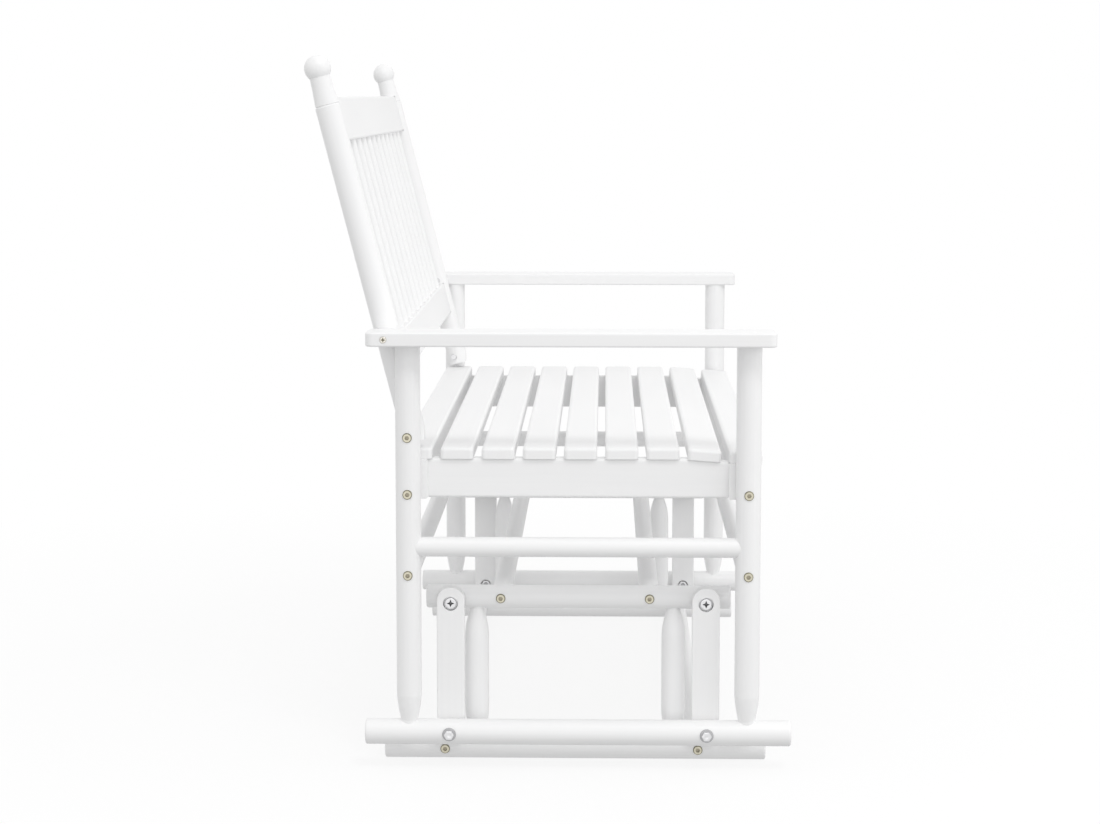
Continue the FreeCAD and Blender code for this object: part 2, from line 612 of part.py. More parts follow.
def armrest():
    arm = block(end_x(ARM_OUTER), end_x(ARM_INNER), -LEG_Y - ARM_FRONT_OVERHANG, LEG_Y + ARM_REAR_OVERHANG,
                ARM_BOTTOM, ARM_TOP)
    arm = arm.makeFillet(ARM_CORNER, edges_along(arm, Z_AXIS))
    arm = arm.makeFillet(ARM_EDGE, edges_at_height(arm, ARM_TOP) + edges_at_height(arm, ARM_BOTTOM))
    hole_d = LEG_TOP_TENON_D + 2 * GLUE_GAP
    hole_top = ARM_BOTTOM + LEG_TOP_TENON + GLUE_GAP
    for sign in (-1, 1):
        arm = arm.cut(rod_z(hole_d, ARM_BOTTOM - CUT_PAST, hole_top, 0, sign * LEG_Y))
    inner = ARM_INNER + CUT_PAST
    return arm.cut(bolt_way(ARM_BOLT_HEAD_D, ARM_BOLT_D, ARM_HEAD_SEAT, inner, BACK_Y, ARM_MIDDLE))


def make_end_frames():
    keep_ends("lower_rail", lower_rail())
    keep_ends("rear_leg", leg(1))
    keep_ends("front_leg", leg(-1))
    side_end = LEG_Y - STRETCHER_END - GLUE_GAP
    keep_ends("side_stretcher", rod_y(STRETCHER_D, -side_end, side_end, 0, SIDE_STRETCHER_Z))
    keep_ends("armrest", armrest())

    bolts = []
    nuts = []
    for sign in (-1, 1):
        bolt = pivot_bolt(sign * PIVOT_Y)
        nut = pivot_nut(sign * PIVOT_Y)
        bolts += [bolt, mirrored(bolt)]
        nuts += [nut, mirrored(nut)]
    keep("lower_pivot_bolts", *bolts)
    keep("lower_pivot_nuts", *nuts)


def pivot_bolt(y):
    """Flanged hexagon bolt through the lower rail, which carries the rail on a link."""
    flange_out = PIVOT_HEAD_SEAT - PIVOT_FLANGE_THICKNESS
    bolt = rod_x(PIVOT_FLANGE_D, flange_out, PIVOT_HEAD_SEAT, y, LOWER_RAIL_Z)
    face = flange_out - PIVOT_HEX_HEIGHT
    hexagon = hexagon_x(PIVOT_HEX_AF, face, flange_out, y, LOWER_RAIL_Z)
    turning = rod_x(PIVOT_HEX_AF / math.cos(math.radians(30)), face, flange_out, y, LOWER_RAIL_Z)
    rim = [e for e in turning.Edges if abs(e.BoundBox.XMax - end_x(face)) < 1e-6]
    hexagon = hexagon.common(turning.makeChamfer(PIVOT_HEX_CHAMFER, rim))
    ball_r = (PIVOT_DIMPLE_DEPTH ** 2 + (PIVOT_DIMPLE_D / 2) ** 2) / (2 * PIVOT_DIMPLE_DEPTH)
    dimple = Part.makeSphere(ball_r, V(end_x(face + PIVOT_DIMPLE_DEPTH - ball_r), y, LOWER_RAIL_Z))
    bolt = bolt.fuse(hexagon.cut(dimple))
    tip = LINK_INNER - NUT_POCKET_DEPTH + SIDE_GAP + PIVOT_NUT_HEIGHT
    return bolt.fuse(rod_x(PIVOT_D, PIVOT_HEAD_SEAT, tip, y, LOWER_RAIL_Z)).removeSplitter()


def pivot_nut(y):
    inset = LINK_INNER - NUT_POCKET_DEPTH + SIDE_GAP
    back = inset + PIVOT_NUT_HEIGHT
    nut = hexagon_x(PIVOT_NUT_AF, inset, back, y, LOWER_RAIL_Z)
    return nut.cut(rod_x(PIVOT_D + 2 * GLUE_GAP, inset - CUT_PAST, back + CUT_PAST, y, LOWER_RAIL_Z))


# Seat: rails between the legs, side aprons between the rails, slats across the top
def bed_height(y):
    """Height that the slats lie on: level, then sloping down under the front slats."""
    return SEAT_BED + min(0.0, y - SLOPE_START_Y) * SLOPE_DROP


def seat_rail_section(sign, inset0, inset1, gap):
    """A stretch of the front (-1) or rear (+1) seat rail, grown by a gap."""
    inner_y = sign * (SEAT_RAIL_INNER_Y - gap)
    outer_y = sign * (SEAT_RAIL_OUTER_Y + gap)
    x = end_x(inset0)
    low = SEAT_RAIL_BOTTOM - gap
    corners = [V(x, inner_y, low), V(x, outer_y, low), V(x, outer_y, bed_height(outer_y) + gap),
               V(x, inner_y, bed_height(inner_y) + gap), V(x, inner_y, low)]
    return Part.Face(Part.makePolygon(corners)).extrude(V(inset1 - inset0, 0, 0))


def side_apron():
    low = SEAT_RAIL_BOTTOM
    front = -SEAT_RAIL_INNER_Y
    back = SEAT_RAIL_INNER_Y
    x = end_x(APRON_OUTER)
    corners = [V(x, front, low), V(x, back, low), V(x, back, SEAT_BED), V(x, SLOPE_START_Y, SEAT_BED),
               V(x, front, bed_height(front)), V(x, front, low)]
    board = Part.Face(Part.makePolygon(corners)).extrude(V(APRON_THICKNESS, 0, 0))
    outer = [e for e in board.Edges if abs(e.BoundBox.XMax - x) < 1e-6 and e.BoundBox.YLength > 1]
    return board.makeFillet(APRON_EDGE, outer)


def on_seat(shape, sloped):
    """A piece drawn on the level bed, tipped onto the front slope if it lies there."""
    if sloped:
        shape.rotate(V(0, SLOPE_START_Y, SEAT_BED), X_AXIS, SEAT_SLOPE)
    return shape


def slat(y):
    x = HALF_X - SLAT_END
    board = block(-x, x, y - SLAT_WIDTH / 2, y + SLAT_WIDTH / 2, SEAT_BED, SEAT_TOP)
    board = board.makeFillet(SLAT_CORNER, edges_along(board, Z_AXIS))
    return board.makeFillet(SLAT_EDGE, edges_at_height(board, SEAT_TOP))


def slat_dowel(y, gap):
    inset = (APRON_OUTER + APRON_INNER) / 2
    depth = SLAT_DOWEL_DEPTH + gap
    return rod_z(SLAT_DOWEL_D + 2 * gap, SEAT_BED - depth, SEAT_BED + depth, inset, y)


def make_seat():
    bolts = []
    nuts = []
    dowels = []
    rails = {}
    apron = side_apron()
    for row, sign in (("rear", 1), ("front", -1)):
        y = sign * LEG_Y
        rail = seat_rail_section(sign, SEAT_RAIL_END, LEG_SPACING_X - SEAT_RAIL_END, 0)
        rail = rail.makeFillet(SEAT_RAIL_EDGE, edges_along(rail, X_AXIS))
        nut_inset = SEAT_RAIL_END + BARREL_NUT_FROM_END
        tip = nut_inset + BOLT_INTO_NUT
        way = rod_x(BOLT_D + 2 * BOLT_GAP, SEAT_RAIL_END - CUT_PAST, tip + CUT_PAST, y, SEAT_BOLT_Z)
        way = way.fuse(barrel_nut_way(nut_inset, y, SEAT_BOLT_Z, SEAT_RAIL_BOTTOM))
        rails[row] = cut_all(rail, [way, mirrored(way)])
        bolt = connector_bolt(LEG_HEAD_SEAT, tip, y, SEAT_BOLT_Z)
        nut = barrel_nut(nut_inset, y, SEAT_BOLT_Z)
        bolts += [bolt, mirrored(bolt)]
        nuts += [nut, mirrored(nut)]
        dowel = bolted_stretcher(bolts, nuts, STRETCHER_D, STRETCHER_END, LEG_HEAD_SEAT,
                                 y, LONG_STRETCHER_Z)
        keep(row + "_long_stretcher", dowel)

    for index in range(SLAT_COUNT):
        y = FIRST_SLAT_Y - index * SLAT_PITCH
        sloped = index >= SLAT_COUNT - SLOPED_SLATS
        dowel_hole = on_seat(slat_dowel(y, GLUE_GAP), sloped)
        board = cut_all(on_seat(slat(y), sloped), [dowel_hole, mirrored(dowel_hole)])
        keep("seat_slat_%d" % (index + 1), board)
        dowel = on_seat(slat_dowel(y, 0), sloped)
        dowels += [dowel, mirrored(dowel)]
        apron = apron.cut(dowel_hole)
        for row in rails:
            rails[row] = cut_all(rails[row], [dowel_hole, mirrored(dowel_hole)])
    for row in rails:
        keep(row + "_seat_rail", rails[row])
    keep_ends("side_apron", apron)
    keep("slat_dowels", *dowels)
    keep("leg_bolts", *bolts)
    keep("seat_barrel_nuts", *nuts)


# Back: two posts with ball finials, two rails and a row of spindles
def post_profile():
    foot = along_back(POST_FOOT_Z)
    groove_low = SHOULDER - SHOULDER_GROOVE
    groove_r = POST_R - SHOULDER_GROOVE
    neck_foot = SHOULDER + SHOULDER_GROOVE
    neck_foot_r = NECK_FOOT_D / 2
    neck_r = NECK_D / 2
    neck = BALL_CENTRE - math.sqrt((BALL_D / 2) ** 2 - neck_r ** 2)
    hollow = ((neck_foot_r + neck_r) / 2 - NECK_HOLLOW, (neck_foot + neck) / 2)
    return [
        line((0, foot), (POST_R, foot)),
        line((POST_R, foot), (POST_R, groove_low)),
        line((POST_R, groove_low), (groove_r, SHOULDER)),
        line((groove_r, SHOULDER), (neck_foot_r, neck_foot)),
        arc((neck_foot_r, neck_foot), hollow, (neck_r, neck)),
        arc((neck_r, neck), (BALL_D / 2, BALL_CENTRE), (0, BALL_CENTRE + BALL_D / 2)),
    ]


def back_rail(low, high, gap):
    """Flat board between the posts, drawn upright in the plane of the back, grown by a gap."""
    half = BACK_RAIL_THICKNESS / 2 + gap
    end = BACK_RAIL_END + gap
    return block(-end, end, -half, half, low - gap, high + gap)


def spindle_x(index):
    return (index - (SPINDLE_COUNT - 1) / 2) * SPINDLE_PITCH


def back_post():
    post = turned(post_profile(), POST_INSET, 0, 0)
    for low, high in ((CREST_LOW, CREST_HIGH), (BACK_RAIL_LOW, BACK_RAIL_HIGH)):
        post = post.cut(back_rail(low, high, GLUE_GAP))
    post = leaned(post)
    foot_top = POST_BOLT_Z + POST_D
    flat_y = LEG_Y - POST_FOOT_FLAT
    foot_flat = block(end_x(0), end_x(2 * POST_INSET), flat_y - POST_D, flat_y,
                      POST_FOOT_Z - POST_D, foot_top)
    saddle = rod_z(LEG_D + 2 * SADDLE_GAP, POST_FOOT_Z - POST_D, ARM_BOTTOM, 0, LEG_Y)
    arm_seat = block(end_x(ARM_OUTER), end_x(ARM_INNER + GLUE_GAP), BACK_Y - POST_D, BACK_Y + POST_D,
                     ARM_BOTTOM - GLUE_GAP, ARM_TOP + GLUE_GAP)
    post = cut_all(post, [foot_flat, saddle, arm_seat])
    for y, z, bolt_d in ((LEG_Y, POST_BOLT_Z, BOLT_D), (BACK_Y, ARM_MIDDLE, ARM_BOLT_D)):
        hole = rod_x(bolt_d + 2 * BOLT_GAP, ARM_OUTER, CAP_NUT_SEAT + CUT_PAST, y, z)
        seat = rod_x(CAP_NUT_D + 2 * BOLT_GAP, CAP_NUT_SEAT, CAP_NUT_SEAT + POST_D, y, z)
        post = cut_all(post, [hole, seat])
    return post


def cap_nut(bolt_d, y, z):
    """Round cap nut on the inner side of a post, with a blind hole for the bolt's tip."""
    top = CAP_NUT_SEAT + CAP_NUT_HEIGHT
    nut = rod_x(CAP_NUT_D, CAP_NUT_SEAT, top, y, z)
    rim = [e for e in nut.Edges if abs(e.BoundBox.XMin - end_x(top)) < 1e-6]
    nut = nut.makeFillet(CAP_NUT_HEIGHT / 4, rim)
    return nut.cut(rod_x(bolt_d + 2 * GLUE_GAP, CAP_NUT_SEAT - CUT_PAST, top - CAP_NUT_HEIGHT / 3, y, z))


def arm_bolt():
    """Small flat-headed bolt from the armrest's outer side through the post."""
    head_top = ARM_HEAD_SEAT - ARM_BOLT_HEAD_HEIGHT
    tip = CAP_NUT_SEAT + CAP_NUT_HEIGHT / 2
    bolt = rod_x(ARM_BOLT_HEAD_D, head_top, ARM_HEAD_SEAT, BACK_Y, ARM_MIDDLE)
    bolt = bolt.fuse(rod_x(ARM_BOLT_D, ARM_HEAD_SEAT, tip, BACK_Y, ARM_MIDDLE))
    socket_floor = head_top + ARM_BOLT_SOCKET_DEPTH
    return bolt.cut(hexagon_x(ARM_BOLT_SOCKET_AF, head_top - CUT_PAST, socket_floor, BACK_Y, ARM_MIDDLE))


def make_back():
    keep_ends("back_post", back_post())
    spindles = []
    holes = []
    for index in range(SPINDLE_COUNT):
        x = spindle_x(index)
        inset = x + HALF_X
        rod = rod_z(SPINDLE_D, BACK_RAIL_HIGH, CREST_LOW, inset, 0)
        tenon = rod_z(SPINDLE_TENON_D, BACK_RAIL_HIGH - SPINDLE_TENON, CREST_LOW + SPINDLE_TENON, inset, 0)
        reach = SPINDLE_TENON + GLUE_GAP
        hole_d = SPINDLE_TENON_D + 2 * GLUE_GAP
        holes.append(rod_z(hole_d, BACK_RAIL_HIGH - reach, CREST_LOW + reach, inset, 0))
        spindles.append(leaned(rod.fuse(tenon)))
    keep("back_spindles", *spindles)
    for name, low, high in (("crest_rail", CREST_LOW, CREST_HIGH),
                            ("lower_back_rail", BACK_RAIL_LOW, BACK_RAIL_HIGH)):
        board = back_rail(low, high, 0)
        board = board.makeFillet(BACK_RAIL_EDGE, edges_along(board, X_AXIS))
        keep(name, leaned(cut_all(board, holes)))

    post_bolt = connector_bolt(LEG_HEAD_SEAT, CAP_NUT_SEAT + CAP_NUT_HEIGHT / 2, LEG_Y, POST_BOLT_Z)
    bolts = [post_bolt, arm_bolt()]
    nuts = [cap_nut(BOLT_D, LEG_Y, POST_BOLT_Z), cap_nut(ARM_BOLT_D, BACK_Y, ARM_MIDDLE)]
    keep("back_bolts", *(bolts + [mirrored(b) for b in bolts]))
    keep("back_bolt_nuts", *(nuts + [mirrored(n) for n in nuts]))


make_base()
make_links()
make_end_frames()
make_seat()
make_back()

for name, shape in parts.items():
    placed = shape.copy()
    placed.translate(TO_ORIGIN)
    placed.exportStep("parts/" + name + ".step")
print(len(parts), "nodes")
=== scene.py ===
# %% [markdown]
# # A white wooden bench that swings on links
#
# The bench of this lesson hangs on four flat wooden links from a low floor base, and glides
# forwards and backwards while its seat stays level. A mechanical model already holds every rail,
# leg, slat and bolt at its real size, in metres. This lesson gives that model its camera, its
# light, its paint and its metal, and remodels the screws and bolts whose heads show.

# %% Load the frame
import json
import math

import bmesh
import bpy
from mathutils import Matrix, Vector


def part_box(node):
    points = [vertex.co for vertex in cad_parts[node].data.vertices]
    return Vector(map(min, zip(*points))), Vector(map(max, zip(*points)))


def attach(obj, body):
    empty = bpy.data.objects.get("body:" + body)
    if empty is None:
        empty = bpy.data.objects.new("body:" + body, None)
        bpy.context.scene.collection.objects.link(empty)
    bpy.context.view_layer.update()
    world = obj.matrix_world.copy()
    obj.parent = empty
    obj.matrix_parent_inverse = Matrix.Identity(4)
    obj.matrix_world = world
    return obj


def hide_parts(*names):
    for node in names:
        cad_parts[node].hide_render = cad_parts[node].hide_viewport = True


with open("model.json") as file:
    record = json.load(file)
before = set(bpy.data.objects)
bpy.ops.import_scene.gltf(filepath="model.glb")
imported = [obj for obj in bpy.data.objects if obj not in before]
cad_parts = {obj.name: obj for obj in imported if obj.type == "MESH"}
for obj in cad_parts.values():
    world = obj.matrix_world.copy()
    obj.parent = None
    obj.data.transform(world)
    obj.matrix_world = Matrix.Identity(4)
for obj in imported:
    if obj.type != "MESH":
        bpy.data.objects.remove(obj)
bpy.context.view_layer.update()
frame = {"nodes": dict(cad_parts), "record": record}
nodes = frame["nodes"]
scene = bpy.context.scene

# %% [markdown]
# ## The camera
#
# The photograph looks square on at the sitter's right-hand end of the bench, from about the height
# of the ball finials. A level camera with a strongly shifted lens would keep every leg upright in
# the picture, but the same shift would push the bench out of all other views. So this camera looks
# down a little, which is hard to see, and shifts its lens by only a few hundredths. Its place is
# counted from the bench's own near legs.

# %% Lens
PHOTO_WIDTH = 1100
FOCAL_PIXELS = 2419.5
SENSOR_MM = 36.0
LENS_SHIFT = -0.06

lens = bpy.data.cameras.new("photo_camera")
lens.sensor_width = SENSOR_MM
lens.lens = FOCAL_PIXELS / PHOTO_WIDTH * SENSOR_MM
lens.shift_y = LENS_SHIFT
print("lens", round(lens.lens, 1), "mm, shifted by", LENS_SHIFT)

# %% Camera
QUARTER_TURN = math.radians(90)
LOOK_DOWN = math.radians(5.919)
LOOK_BACK = math.radians(1.315)
CAMERA_TO_LEGS = 3.2328
CAMERA_IN_FRONT = 0.0362
CAMERA_HEIGHT = 0.9168

front_low, front_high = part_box("right_front_leg")
_, rear_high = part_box("right_rear_leg")
near_end = (front_low.x + front_high.x) / 2
between_legs = (front_low.y + rear_high.y) / 2

camera = bpy.data.objects.new("photo_camera", lens)
camera.location = (near_end - CAMERA_TO_LEGS, between_legs - CAMERA_IN_FRONT, CAMERA_HEIGHT)
camera.rotation_euler = (QUARTER_TURN - LOOK_DOWN, 0, LOOK_BACK - QUARTER_TURN)
scene.collection.objects.link(camera)
scene.camera = camera
print("camera at", [round(value, 3) for value in camera.location])

# %% [markdown]
# ## A white surround
#
# The bench is white on white, so its shape shows only in soft shade. Most of that shade comes from
# an even surround, which dims wherever one piece hides the sky from another. Lamps alone would draw
# deep shadows that the photograph lacks. What the camera and the metal see of the surround is plain
# white, while the light that falls on the bench has its own strength.

# %% Shader helpers
scene.view_settings.view_transform = "Standard"


def add_node(tree, kind, **inputs):
    """A new shader node, with some of its inputs set by name."""
    made = tree.nodes.new("ShaderNode" + kind)
    for name, value in inputs.items():
        made.inputs[name.replace("_", " ")].default_value = value
    return made


def seen_by_eye(tree):
    """1 for rays that the camera, a gloss or a glass sends out, and 0 for light that falls."""
    path = add_node(tree, "LightPath")
    total = path.outputs["Is Camera Ray"]
    for ray in ("Is Glossy Ray", "Is Transmission Ray"):
        either = add_node(tree, "Math")
        either.operation = "MAXIMUM"
        tree.links.new(total, either.inputs[0])
        tree.links.new(path.outputs[ray], either.inputs[1])
        total = either.outputs[0]
    return total


print("view transform:", scene.view_settings.view_transform)

# %% Surround
WHITE = (1, 1, 1, 1)
SURROUND_LIGHT = 0.9
SURROUND_SEEN = 1.0

world = bpy.data.worlds.new("white_surround")
world.use_nodes = True
scene.world = world
tree = world.node_tree
tree.nodes.clear()
falling = add_node(tree, "Background", Color=WHITE, Strength=SURROUND_LIGHT)
seen = add_node(tree, "Background", Color=WHITE, Strength=SURROUND_SEEN)
choose = add_node(tree, "MixShader")
tree.links.new(seen_by_eye(tree), choose.inputs["Fac"])
tree.links.new(falling.outputs[0], choose.inputs[1])
tree.links.new(seen.outputs[0], choose.inputs[2])
tree.links.new(choose.outputs[0], add_node(tree, "OutputWorld").inputs["Surface"])
print("surround: gives", SURROUND_LIGHT, "and is seen at", SURROUND_SEEN)

# %% [markdown]
# ## Four soft lamps
#
# In the photograph the near armrest lays a narrow soft shadow across the slats below it. Its place
# tells where the main lamp hangs: high, on the camera's side and a little to the front. It is set
# far off, so that both ends of the bench get about the same from it. The round legs are also
# brighter towards the front of the bench than towards its back, so two large weak lamps stand
# there, and a low one lights the near end. All are area lamps, because a big face of light has no
# hard shadow.

# %% Lamps
LAMP_AIM = Vector((0, 0, 0.35))
LAMPS = (  # name, place, side in metres, watts
    ("main_lamp", (-3.7, -1.4, 5.5), 1.6, 70),
    ("front_lamp", (-0.8, -3.2, 1.4), 2.0, 11),
    ("low_corner_lamp", (-2.6, -2.4, 0.9), 1.6, 7),
    ("low_end_lamp", (-3.4, 0.2, 0.4), 1.6, 6),
)


def softbox(name, place, side, watts):
    """A square area lamp that looks at the bench."""
    lamp = bpy.data.lights.new(name, "AREA")
    lamp.size = side
    lamp.energy = watts
    held = bpy.data.objects.new(name, lamp)
    held.location = place
    held.rotation_euler = (LAMP_AIM - held.location).to_track_quat("-Z", "Y").to_euler()
    held.visible_camera = False
    scene.collection.objects.link(held)


for row in LAMPS:
    softbox(*row)

# %% [markdown]
# ## The floor
#
# The bench stands on a plain white sheet that runs out of sight. A real sheet sends light back up
# under the rails, about half of what falls on it, and a studio lights it so evenly that the bench
# hardly dims it. A matt sheet would darken under the bench, so this one gives its return light off
# by itself, at one modest strength. To the camera it is white, and close round the bench it mixes in
# some of its real shading, so that a faint shadow stays under the rails.

# %% Floor sheet
FLOOR_REACH = 40.0

bm = bmesh.new()
bmesh.ops.create_grid(bm, x_segments=1, y_segments=1, size=FLOOR_REACH)
floor_mesh = bpy.data.meshes.new("floor")
bm.to_mesh(floor_mesh)
bm.free()
floor = bpy.data.objects.new("floor", floor_mesh)
scene.collection.objects.link(floor)
print("floor sheet", 2 * FLOOR_REACH, "m across")

# %% Floor finish
FLOOR_BOUNCE = 0.55
FLOOR_SEEN = 1.0
FLOOR_SHEET = (0.92, 0.92, 0.92, 1)
SHADE_SHARE = 0.2
SHADE_NEAR = 0.8
SHADE_FAR = 1.8

sheet = bpy.data.materials.new("white_floor_sheet")
sheet.use_nodes = True
tree = sheet.node_tree
tree.nodes.clear()
away = add_node(tree, "VectorMath")
away.operation = "LENGTH"
fade = add_node(tree, "MapRange", From_Min=SHADE_NEAR, From_Max=SHADE_FAR, To_Min=SHADE_SHARE, To_Max=0.0)
shaded = add_node(tree, "BsdfDiffuse", Color=FLOOR_SHEET)
glow = add_node(tree, "Emission", Color=WHITE, Strength=FLOOR_SEEN)
look = add_node(tree, "MixShader")
bounce = add_node(tree, "Emission", Color=WHITE, Strength=FLOOR_BOUNCE)
choose = add_node(tree, "MixShader")
tree.links.new(add_node(tree, "TexCoord").outputs["Object"], away.inputs[0])
tree.links.new(away.outputs["Value"], fade.inputs["Value"])
tree.links.new(fade.outputs[0], look.inputs["Fac"])
tree.links.new(glow.outputs[0], look.inputs[1])
tree.links.new(shaded.outputs[0], look.inputs[2])
tree.links.new(seen_by_eye(tree), choose.inputs["Fac"])
tree.links.new(bounce.outputs[0], choose.inputs[1])
tree.links.new(look.outputs[0], choose.inputs[2])
tree.links.new(choose.outputs[0], add_node(tree, "OutputMaterial").inputs["Surface"])
floor.data.materials.append(sheet)
print("floor shade fades out between", SHADE_NEAR, "and", SHADE_FAR, "m")

# %% [markdown]
# ## White paint on wood
#
# The wood wears a satin white lacquer. Under it the grain still shows a little: long faint streaks
# in the sheen, a shallow ripple where the paint sank into the pores, and a slow drift in the tone
# from piece to piece. A picture of wood could give that, but noise that is stretched along the
# grain works at any size and needs no file. The stretch has to follow each piece, so the paint is
# mixed once for every direction in which the maker laid the wood.

# %% Grain directions
BACK_LEAN = math.radians(14.4)
GRAIN = {
    "along": Vector((1, 0, 0)),
    "across": Vector((0, 1, 0)),
    "upright": Vector((0, 0, 1)),
    "leaning": Vector((0, math.sin(BACK_LEAN), math.cos(BACK_LEAN))),
}


def grain_turn(direction):
    """The turn that lays a pattern's long side, which is its X axis, along a direction."""
    return GRAIN["along"].rotation_difference(direction).to_euler()


for way, direction in GRAIN.items():
    turn = [round(math.degrees(angle), 1) for angle in grain_turn(direction)]
    print("grain", way, "turns a pattern by", turn, "degrees")


# %% A finish and its patterns
def new_finish(name):
    """A material with its node tree and its main shader."""
    finish = bpy.data.materials.new(name)
    finish.use_nodes = True
    return finish, finish.node_tree, finish.node_tree.nodes["Principled BSDF"]


def pattern(tree, direction, sizes, detail):
    """Noise that is turned along a direction, with spots of the given sizes in metres."""
    place = add_node(tree, "Mapping", Scale=sizes)
    place.vector_type = "TEXTURE"
    place.inputs["Rotation"].default_value = grain_turn(direction)
    tree.links.new(add_node(tree, "TexCoord").outputs["Object"], place.inputs["Vector"])
    spots = add_node(tree, "TexNoise", Scale=1.0, Detail=detail)
    tree.links.new(place.outputs["Vector"], spots.inputs["Vector"])
    return spots.outputs["Fac"]


def blend(tree, first, second, share):
    """Two patterns in one, the second by a share."""
    mixed = add_node(tree, "Mix", Factor=share)
    tree.links.new(first, mixed.inputs["A"])
    tree.links.new(second, mixed.inputs["B"])
    return mixed.outputs["Result"]


print("materials before the bench's own finishes:", len(bpy.data.materials))

# %% From a pattern to colour, gloss and relief
PATTERN_LOW = 0.3
PATTERN_HIGH = 0.7


def tint(tree, value, shader, low_colour, high_colour):
    """A pattern becomes a colour between two tones."""
    tones = add_node(tree, "ValToRGB")
    low, high = tones.color_ramp.elements
    low.position, low.color = PATTERN_LOW, (*low_colour, 1)
    high.position, high.color = PATTERN_HIGH, (*high_colour, 1)
    tree.links.new(value, tones.inputs["Fac"])
    tree.links.new(tones.outputs["Color"], shader.inputs["Base Color"])


def gloss(tree, value, shader, smooth, rough):
    """A pattern becomes a roughness between two limits."""
    limits = add_node(tree, "MapRange", From_Min=PATTERN_LOW, From_Max=PATTERN_HIGH,
                      To_Min=smooth, To_Max=rough)
    tree.links.new(value, limits.inputs["Value"])
    tree.links.new(limits.outputs["Result"], shader.inputs["Roughness"])


def relief(tree, value, shader, strength, height):
    """A pattern becomes a shallow relief of a height in metres."""
    bump = add_node(tree, "Bump", Strength=strength, Distance=height)
    tree.links.new(value, bump.inputs["Height"])
    tree.links.new(bump.outputs["Normal"], shader.inputs["Normal"])


print("patterns count from", PATTERN_LOW, "to", PATTERN_HIGH)

# %% White paint
STREAK_SIZES = (0.12, 0.0035, 0.0035)
DRIFT_SIZES = (0.3, 0.05, 0.05)
STIPPLE_SIZES = (0.001, 0.001, 0.001)
PAINT_LOW = (0.87, 0.87, 0.873)
PAINT_HIGH = (0.898, 0.898, 0.898)


def white_paint(name, direction):
    """Satin lacquer on wood whose grain runs along a direction."""
    finish, tree, shader = new_finish(name)
    streaks = pattern(tree, direction, STREAK_SIZES, detail=3.0)
    drift = pattern(tree, direction, DRIFT_SIZES, detail=1.0)
    stipple = pattern(tree, direction, STIPPLE_SIZES, detail=1.0)
    tint(tree, blend(tree, drift, streaks, share=0.4), shader, PAINT_LOW, PAINT_HIGH)
    gloss(tree, streaks, shader, smooth=0.38, rough=0.5)
    relief(tree, blend(tree, streaks, stipple, share=0.3), shader, strength=0.2, height=0.0003)
    return finish


paint = {way: white_paint("white_paint_" + way, direction) for way, direction in GRAIN.items()}
print("paints:", sorted(paint))

# %% [markdown]
# ## Bare beech and nylon
#
# The dowels that pin the slats are unpainted beech, and every pivot turns in a nylon bush. Both
# hide inside the joints, where a plain colour would do, but they show when the bench is taken
# apart. So they get a real finish from the same patterns: fine brown flecks for the beech, and the
# faint rings of a lathe on the bushes.

# %% Bare wood and nylon
FLECK_SIZES = (0.012, 0.0008, 0.0008)
RING_SIZES = (0.0006, 0.02, 0.02)


def bare_beech(name):
    """Unpainted beech that stands upright."""
    finish, tree, shader = new_finish(name)
    flecks = pattern(tree, GRAIN["upright"], FLECK_SIZES, detail=3.0)
    tint(tree, flecks, shader, (0.5, 0.3, 0.16), (0.68, 0.47, 0.29))
    gloss(tree, flecks, shader, smooth=0.6, rough=0.75)
    relief(tree, flecks, shader, strength=0.3, height=0.0002)
    return finish


def turned_nylon(name):
    """Off-white nylon, turned about the bench's length."""
    finish, tree, shader = new_finish(name)
    rings = pattern(tree, GRAIN["along"], RING_SIZES, detail=2.0)
    tint(tree, rings, shader, (0.74, 0.72, 0.66), (0.82, 0.8, 0.75))
    gloss(tree, rings, shader, smooth=0.4, rough=0.55)
    relief(tree, rings, shader, strength=0.2, height=0.0001)
    return finish


beech = bare_beech("bare_beech")
nylon = turned_nylon("turned_nylon")
print("hidden finishes:", beech.name, nylon.name)

# %% [markdown]
# ## Zinc on steel
#
# The connector bolts have the pale olive of yellow zinc, and the pivot screws the cool grey of
# bright zinc. One even grey would look like plastic, because plating drifts in tone and its gloss is
# cloudy. The driver recesses and the sloping rims get painted shade: each metal has a darker
# companion that paints the shadow and dark reflections there, and the key sockets one that is half
# as dark. The armrest screws are a paler zinc. The flanges of the lower bolts are painted darker too,
# as painted shade round the hexagon, and are only partly metal, so they also take some real shade.

# %% Zinc
CLOUD_SIZES = (0.004, 0.004, 0.004)
GRIT_SIZES = (0.0005, 0.0005, 0.0005)


def zinc(name, low_colour, high_colour, smooth, rough, metal=1.0):
    """Plated steel with a cloudy tone and gloss."""
    finish, tree, shader = new_finish(name)
    shader.inputs["Metallic"].default_value = metal
    clouds = pattern(tree, GRAIN["along"], CLOUD_SIZES, detail=3.0)
    grit = pattern(tree, GRAIN["along"], GRIT_SIZES, detail=2.0)
    tint(tree, clouds, shader, low_colour, high_colour)
    gloss(tree, blend(tree, clouds, grit, share=0.5), shader, smooth, rough)
    relief(tree, grit, shader, strength=0.15, height=0.0001)
    return finish


